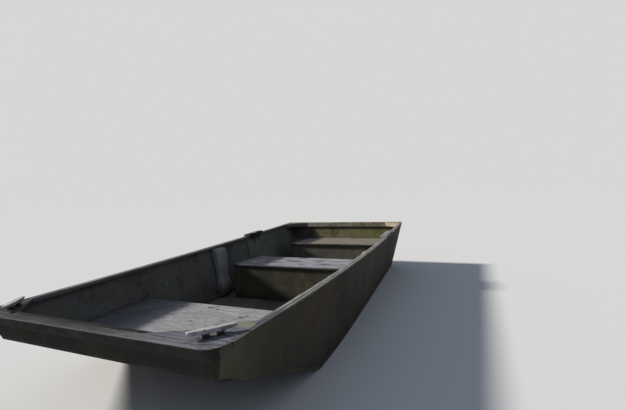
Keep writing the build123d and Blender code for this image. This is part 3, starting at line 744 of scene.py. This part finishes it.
def box_front(name, tones, green):
    """Damp painted ply under the seats, green with algae, more of it to port."""
    look = Look(name)
    algae = look.mix(look.patches(12.0, 0.40, 0.62, detail=6.0), ALGAE_DARK, ALGAE)
    patches = look.patches(3.2, 0.38, 0.62, detail=6.0, vector=look.stretched(1, 1, 1.6))
    port = look.math("ADD", look.times(look.where("Y", *ALGAE_PORT), 0.6), 0.25)
    colour = look.mix(look.times(patches, port, green), old_paint(look, tones), algae)
    line = look.band(look.wavering("Z", 3.0, 0.02), *PALE_LINE_HEIGHT)
    colour = look.mix(look.times(line, 0.2), colour, tones["pale"])
    silt = look.patches(16.0, 0.3, 0.6, detail=6.0, rough=0.75)
    silt = look.times(look.where("Z", *SILTED_LOW), silt, 0.8)
    colour = look.mix(silt, colour, DIRT_AND_SHADE)
    colour = dirt_and_shade_in_corners(look, colour, 0.08, 0.9)
    wear = edge_wear(look, 0.003)
    colour = look.mix(wear, colour, tones["pale"])
    normal = look.bump(look.noise(90.0, 5.0, 0.75), GRIT_RELIEF, 0.4, paint_bump(look, "Y", wear))
    return look.finish(colour, dull(look, 0.55, 0.85, 9.0), normal)


def zinc():
    """Dull galvanised castings: feet darkened with painted shade, upper edges bright with wear and a painted
    highlight, some rust, paint on the sockets' tubes.
    """
    look = Look("zinc")
    colour = look.mix(look.patches(30.0, 0.36, 0.62), ZINC, ZINC_GREY)
    # Painted shade: the cleats' feet below the bar turn dark
    pale = look.most(look.where("Z", *CLEAT_BAR), look.where("X", *CLEATS_AHEAD))
    colour = look.mix(pale, DARK_ZINC_AND_SHADE, colour)
    # Worn metal and a painted highlight on the upward faces of the bar
    bright = look.times(look.facing("Z", 0.5, 0.9), look.patches(45.0, 0.30, 0.50, detail=4.0))
    bright = look.times(bright, look.where("Z", *CLEAT_BRIGHT))
    colour = look.mix(bright, colour, ZINC_BRIGHT)
    colour = look.mix(look.patches(85.0, 0.58, 0.68, 0.7, rough=0.75), colour, NAIL_RUST)
    painted = look.times(look.where("X", *SOCKETS_AFT), look.where("Z", *SOCKET_TUBE_LOW))
    colour = look.mix(painted, colour, LINING["mid"])
    # Dirt and painted shade in the castings' corners
    colour = look.mix(look.times(look.corners(0.012), 0.85), colour, DIRT_AND_SHADE)
    normal = look.bump(look.noise(240.0, 5.0, 0.7), GRIT_RELIEF, 0.5)
    return look.finish(colour, dull(look, 0.42, 0.72, 90.0), normal, CAST_METALLIC, CAST_GLOSS)


def nail_metal():
    """Dull heads of the nails and screws, rusty in places."""
    look = Look("nail_metal")
    colour = look.mix(look.patches(26.0, 0.50, 0.66, detail=4.0), NAIL, NAIL_RUST)
    colour = look.mix(look.patches(400.0, 0.5, 0.7, 0.6, detail=3.0), colour, DARK_ZINC_AND_SHADE)
    normal = look.bump(look.noise(500.0, 3.0, 0.6), NAIL_RELIEF, 0.4)
    return look.finish(colour, dull(look, 0.55, 0.80, 300.0), normal, gloss=NAIL_GLOSS)


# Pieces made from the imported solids
def clean_mesh(node):
    """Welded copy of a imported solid's mesh, with its flat faces whole again."""
    mesh = bmesh.new()
    mesh.from_mesh(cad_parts[node].data)
    bmesh.ops.remove_doubles(mesh, verts=mesh.verts, dist=WELD)
    bmesh.ops.dissolve_limit(mesh, angle_limit=FLAT_ANGLE, verts=mesh.verts, edges=mesh.edges)
    return mesh


def put(name, data):
    """Puts a mesh, a light or a camera into the scene."""
    thing = bpy.data.objects.new(name, data)
    bpy.context.scene.collection.objects.link(thing)
    return thing


def put_mesh(name, mesh, material):
    """Puts a bmesh of one material into the scene."""
    data = bpy.data.meshes.new(name)
    mesh.to_mesh(data)
    mesh.free()
    data.materials.append(material)
    return put(name, data)


def add_piece(name, mesh, material, slot, *nodes):
    """Puts a bmesh into the scene as a smooth piece that rides on the boat."""
    piece = put_mesh(name, mesh, material)
    piece.data.shade_smooth()
    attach(piece, "root")
    if nodes:
        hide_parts(*nodes)
    return piece


def softened(node, material, slot):
    """A packed sheet with its edges rounded, in its own material."""
    piece = add_piece(node + "_piece", clean_mesh(node), material, slot, node)
    configured(piece.modifiers.new("edge", "BEVEL"), width=PANEL_EDGE, segments=2, limit_method="ANGLE",
               angle_limit=SHARP_ANGLE, use_clamp_overlap=False)
    configured(piece.modifiers.new("shade", "WEIGHTED_NORMAL"), keep_sharp=True)


def ramp(value, start, end):
    """Smooth step from 0 at start to 1 at end."""
    share = min(1, max(0, (value - start) / (end - start)))
    return share * share * (3 - 2 * share)


def bent_post(place):
    """Side frame as it shows: a flat board, with its foot ahead of its waist."""
    side = math.copysign(1, place.y)
    foot, head = ramp(place.z, *POST_FOOT_HEIGHTS), ramp(place.z, *POST_HEAD_HEIGHTS)
    centre = POST_PLACE + POST_FOOT_AHEAD * foot - POST_WAIST_AFT * (1 - foot) * (1 - head)
    limit = POST_HALF_WAIST + (POST_HALF_HEAD - POST_HALF_WAIST) * head
    place.x = centre + min(limit, max(-limit, POST_WIDENED * (place.x - POST_PLACE)))
    back = POST_BACK + POST_LEAN * place.z
    place.y = side * (back - (back - abs(place.y)) * (1 - POST_FOOT_THIN * foot))


def longer_to_port(place):
    """Stern seat top, whose port end reaches further than its starboard end."""
    if place.y > 0:
        place.y += SEAT_PORT_REACH


def further_aft(place):
    """Port corner plate, whose end on the gunwale reaches further aft, and stands a little higher."""
    if place.x < GUSSET_TIP_X - GUSSET_AFT_END:
        place.x -= GUSSET_REACH
        place.z += GUSSET_LIFT


def carved(node, material, slot, rub=RUB_STEPS, shape=None, fuller=0.0):
    """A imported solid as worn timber: edges rubbed round and faces no longer quite flat."""
    voxel, dents = CARVED[node.removesuffix("_port").removesuffix("_starboard")]
    mesh = clean_mesh(node)
    if shape:
        for corner in mesh.verts:
            shape(corner.co)
    piece = add_piece(node + "_piece", mesh, material, slot, node)
    add = piece.modifiers.new
    configured(add("remesh", "REMESH"), mode="VOXEL", voxel_size=voxel, use_smooth_shade=True)
    configured(add("rub", "SMOOTH"), factor=RUB_FACTOR, iterations=rub)
    if fuller:
        configured(add("swell", "DISPLACE"), strength=fuller, mid_level=0.0)
    configured(add("dents", "DISPLACE"), strength=dents, mid_level=0.5, texture=DENTS,
               texture_coords="LOCAL")
    configured(add("lean", "DECIMATE"), ratio=KEPT_FACES)


def both(name):
    return [name + "_port", name + "_starboard"]


def dress_hull():
    sides, lining, posts = hull_paint(), lining_paint(), frame_paint()
    floor_paint = bottom_paint()
    for node in both("side"):
        softened(node, sides, "hull_paint")
    for node in both("side_doubler"):
        softened(node, lining, "hull_paint")
    for node in both("side_frame"):
        carved(node, posts, "hull_paint", POST_RUB_STEPS, bent_post)
    for node in ["bottom_panel", "bow_ramp_panel"] + both("chine_log"):
        softened(node, floor_paint, "hull_paint")
    softened("transom", transom_paint(), "hull_paint")
    softened("bow_board", bow_paint(), "hull_paint")


def dress_rails():
    carved("bow_rub_rail", rub_rail_wood(), "rail_paint")
    carved("bow_inner_rail", inner_rail_wood(), "rail_paint")
    carved("stern_rail", stern_rail_wood(), "rail_paint")
    along = rail_wood("inwale_wood", "X", RAIL, INNER)
    for node in both("inwale") + ["rowlock_pad_port"]:
        carved(node, along, "rail_paint")
    # The starboard rowlock pad is dark with painted shade, in the bow board's tones
    carved("rowlock_pad_starboard", rail_wood("shaded_pad_wood", "X", BOW_RAIL, DEEP_SHADE), "rail_paint")
    carved("bow_gusset_port", gusset_wood(), "rail_paint", shape=further_aft)
    carved("bow_gusset_starboard", shaded_gusset_wood(), "rail_paint")
    carved("quarter_knee_port", knee_wood("cream_knee", KNEE), "rail_paint")
    # The starboard knee is a shaded copy of the cream knee: painted shade in darker tones
    carved("quarter_knee_starboard", knee_wood("shaded_knee", PINKISH), "rail_paint")


def dress_boxes():
    thwart = worn_top("thwart_top", WHITE_TOP, THWART_SHADOW_BAND, THWART_MARKS, THWART_Z)
    stern = worn_top("stern_top", WARM_TOP, SEAT_SHADOW_BAND)
    deck = worn_top("deck_top", DECK_TOP, DECK_SHADOW_BAND, DECK_MARKS, DECK_Z)
    carved("thwart_top", thwart, "worn_top")
    carved("stern_seat_top", stern, "worn_top", shape=longer_to_port)
    softened("platform_deck", deck, "worn_top")
    olive = box_front("thwart_front", OLIVE, 1.0)
    pink = box_front("stern_seat_front", PINKISH, 0.6)
    for node in ["thwart_front_panel", "thwart_rear_panel", "platform_bulkhead"] + both("thwart_end_panel"):
        softened(node, olive, "box_front")
    for node in ["stern_seat_front_panel"] + both("stern_seat_end_panel"):
        softened(node, pink, "box_front")


def dress_fittings():
    metal = zinc()
    for node in both("bow_cleat"):
        carved(node, metal, "fitting_metal", METAL_RUB_STEPS, fuller=CLEAT_FULLER)
    for node in both("rowlock_socket"):
        carved(node, metal, "fitting_metal", METAL_RUB_STEPS)


# Fastenings
def target(*nodes):
    """Something to cast rays at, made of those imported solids."""
    mesh = bmesh.new()
    for node in nodes:
        mesh.from_mesh(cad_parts[node].data)
    tree = BVHTree.FromBMesh(mesh)
    mesh.free()
    return tree


def head(mesh, place, outward, radius, rise):
    """One domed head, standing on the wood."""
    turn = outward.to_track_quat("Z", "Y")
    rings = []
    for share, height in HEAD_PROFILE:
        ring = []
        for step in range(HEAD_SIDES):
            angle = 2 * math.pi * step / HEAD_SIDES
            across = radius * share
            spot = Vector((across * math.cos(angle), across * math.sin(angle), rise * height))
            ring.append(mesh.verts.new(place + turn @ spot))
        rings.append(ring)
    for lower, upper in zip(rings, rings[1:]):
        for step in range(HEAD_SIDES):
            after = (step + 1) % HEAD_SIDES
            mesh.faces.new((lower[step], lower[after], upper[after], upper[step]))
    mesh.faces.new(rings[-1])
    mesh.faces.new(rings[0][::-1])


def heads(name, tree, rays, material, radius=NAIL_RADIUS, rise=NAIL_RISE):
    """Heads where rays from outside meet the wood, as one piece."""
    mesh = bmesh.new()
    for start, direction in rays:
        place, outward = tree.ray_cast(start, direction, RAY_REACH)[:2]
        if place:
            head(mesh, place, outward if outward.dot(direction) < 0 else -outward, radius, rise)
    add_piece(name, mesh, material, "fitting_metal")


def spread(start, end, step):
    """Even places from start to end, about a step apart."""
    count = max(1, round(abs(end - start) / step))
    return [start + (end - start) * index / count for index in range(count + 1)]


def edge_height(tree, x, side, start, step):
    """Height at which the side sheet begins, looking from outboard at one station."""
    height = start
    inboard = Vector((0, -side, 0))
    for _ in range(SEARCH_STEPS):
        if tree.ray_cast(Vector((x, side, height)), inboard, RAY_REACH)[0]:
            return height
        height += step
    return height


def side_nails(name, side, metal):
    """Nails through the side sheet into the inwale, the chine log and the transom."""
    tree = target("side_" + name)
    places = []
    for x in spread(*SHEER_ROW):
        places.append((x, edge_height(tree, x, side, OVER_HULL, -SEARCH_STEP) - BELOW_SHEER))
    for x in spread(*CHINE_ROW):
        places.append((x, edge_height(tree, x, side, 0.0, SEARCH_STEP) + ABOVE_CHINE))
    for z in spread(*STERN_ROW):
        places.append((STERN_TOP_X + (STERN_TOP_Z - z) * STERN_RAKE, z))
    inboard = Vector((0, -side, 0))
    heads("side_nails_" + name, tree, [(Vector((x, side, z)), inboard) for x, z in places], metal)


def box_nails(metal):
    """Nails along the edges of the seat tops and the platform."""
    for name, node, edges, half in SEAT_ROWS:
        rays = [(Vector((x, y, 1)), DOWN) for x in edges for y in spread(-half, half, SEAT_NAIL_STEP)]
        heads(name, target(node), rays, metal)


def end_nails(metal):
    """Nails across the outer faces of the transom and the bow board, and under the bottom."""
    rays = [(Vector((-2, y, z)), AHEAD) for z in TRANSOM_HEIGHTS for y in spread(*TRANSOM_ROW)]
    heads("transom_nails", target("transom"), rays, metal)
    rays = [(Vector((2, y, z)), ASTERN) for z in BOW_HEIGHTS for y in spread(*BOW_ROW)]
    heads("bow_nails", target("bow_board", "bow_rub_rail"), rays, metal)
    rays = [(Vector((x, side * BOTTOM_HALF, -1)), UP) for side in (1, -1) for x in spread(*BOTTOM_ROW)]
    rays += [(Vector((x, y, -1)), UP) for x in BOTTOM_CROSSES for y in spread(*BOTTOM_CROSS_ROW)]
    heads("bottom_nails", target("bottom_panel", "bow_ramp_panel"), rays, metal, rise=FLUSH_RISE)


def cleat_screws(metal):
    """Two screws through each foot of the cleats."""
    for name in ("port", "starboard"):
        low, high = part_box("bow_cleat_" + name)
        middle = (Vector(low) + Vector(high)) / 2
        rays = [(Vector((middle.x + dx, middle.y + dy, 1)), DOWN)
                for dx in (-CLEAT_SCREW_X, CLEAT_SCREW_X) for dy in (-CLEAT_SCREW_Y, CLEAT_SCREW_Y)]
        heads("cleat_screws_" + name, target("bow_cleat_" + name), rays, metal, *SCREW_HEAD)


def socket_screws(metal):
    """A screw at each end of the rowlock plates."""
    for name in ("port", "starboard"):
        low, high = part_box("rowlock_socket_" + name)
        middle_y = (low[1] + high[1]) / 2
        rays = [(Vector((x, middle_y, 1)), DOWN)
                for x in (low[0] + PLATE_SCREW_INSET, high[0] - PLATE_SCREW_INSET)]
        heads("socket_screws_" + name, target("rowlock_socket_" + name), rays, metal, *SCREW_HEAD)


def dress_fastenings():
    metal = nail_metal()
    side_nails("port", 1, metal)
    side_nails("starboard", -1, metal)
    box_nails(metal)
    end_nails(metal)
    cleat_screws(metal)
    socket_screws(metal)


# Room
def make_floor():
    look = Look("floor")
    shader = look.add("ShaderNodeBsdfDiffuse", {"Color": FLOOR_COLOUR})
    look.add("ShaderNodeOutputMaterial", {"Surface": shader.outputs[0]})
    mesh = bmesh.new()
    bmesh.ops.create_circle(mesh, cap_ends=True, radius=FLOOR_RADIUS, segments=FLOOR_SIDES)
    floor = put_mesh("floor", mesh, look.material)
    floor.location.z = FLOOR_HEIGHT


def make_world():
    """Even sky for the light, and a plain backdrop for the camera and for reflections."""
    world = bpy.data.worlds.new("room")
    world.use_nodes = True
    tree = world.node_tree
    tree.nodes.clear()
    sky, wall = tree.nodes.new("ShaderNodeBackground"), tree.nodes.new("ShaderNodeBackground")
    sky.inputs["Color"].default_value = SKY_COLOUR
    sky.inputs["Strength"].default_value = SKY_STRENGTH
    wall.inputs["Color"].default_value = BACKDROP_COLOUR
    ray = tree.nodes.new("ShaderNodeLightPath")
    seen = ray.outputs["Is Camera Ray"]
    for kind in ("Is Glossy Ray", "Is Transmission Ray"):
        joined = tree.nodes.new("ShaderNodeMath")
        joined.operation = "MAXIMUM"
        tree.links.new(seen, joined.inputs[0])
        tree.links.new(ray.outputs[kind], joined.inputs[1])
        seen = joined.outputs[0]
    mixed, out = tree.nodes.new("ShaderNodeMixShader"), tree.nodes.new("ShaderNodeOutputWorld")
    tree.links.new(seen, mixed.inputs[0])
    tree.links.new(sky.outputs[0], mixed.inputs[1])
    tree.links.new(wall.outputs[0], mixed.inputs[2])
    tree.links.new(mixed.outputs[0], out.inputs["Surface"])
    bpy.context.scene.world = world


def make_key():
    """The low key light, as strong as it takes to bring level ground to LEVEL_LIGHT."""
    energy = math.pi * (LEVEL_LIGHT - SKY_STRENGTH) / KEY_TOWARD.z
    light = configured(bpy.data.lights.new("key", "SUN"), angle=KEY_ANGLE, color=KEY_COLOUR, energy=energy)
    put("key", light).rotation_euler = KEY_TOWARD.to_track_quat("Z", "Y").to_euler()


def make_camera():
    """Camera at the place and angle from which the photograph was taken."""
    level = math.cos(CAMERA_PITCH)
    forward = Vector((-math.cos(CAMERA_YAW) * level, math.sin(CAMERA_YAW) * level, -math.sin(CAMERA_PITCH)))
    side = forward.cross(UP).normalized()
    top = side.cross(forward)
    right = math.cos(CAMERA_ROLL) * side + math.sin(CAMERA_ROLL) * top
    up = math.cos(CAMERA_ROLL) * top - math.sin(CAMERA_ROLL) * side
    turn = Matrix((right, up, -forward)).transposed()
    data = configured(bpy.data.cameras.new("camera"), sensor_width=SENSOR_WIDTH, clip_end=2 * FLOOR_RADIUS,
                      lens=FOCAL_PIXELS / PHOTO_WIDTH * SENSOR_WIDTH)
    camera = put("camera", data)
    camera.matrix_world = Matrix.Translation(CAMERA_PLACE) @ turn.to_4x4()
    bpy.context.scene.camera = camera


DENTS = configured(bpy.data.textures.new("dents", "CLOUDS"), noise_scale=DENT_SIZE, noise_depth=3)
dress_hull()
dress_rails()
dress_boxes()
dress_fittings()
dress_fastenings()
make_floor()
make_world()
make_key()
make_camera()
bpy.context.scene.view_settings.view_transform = "Standard"
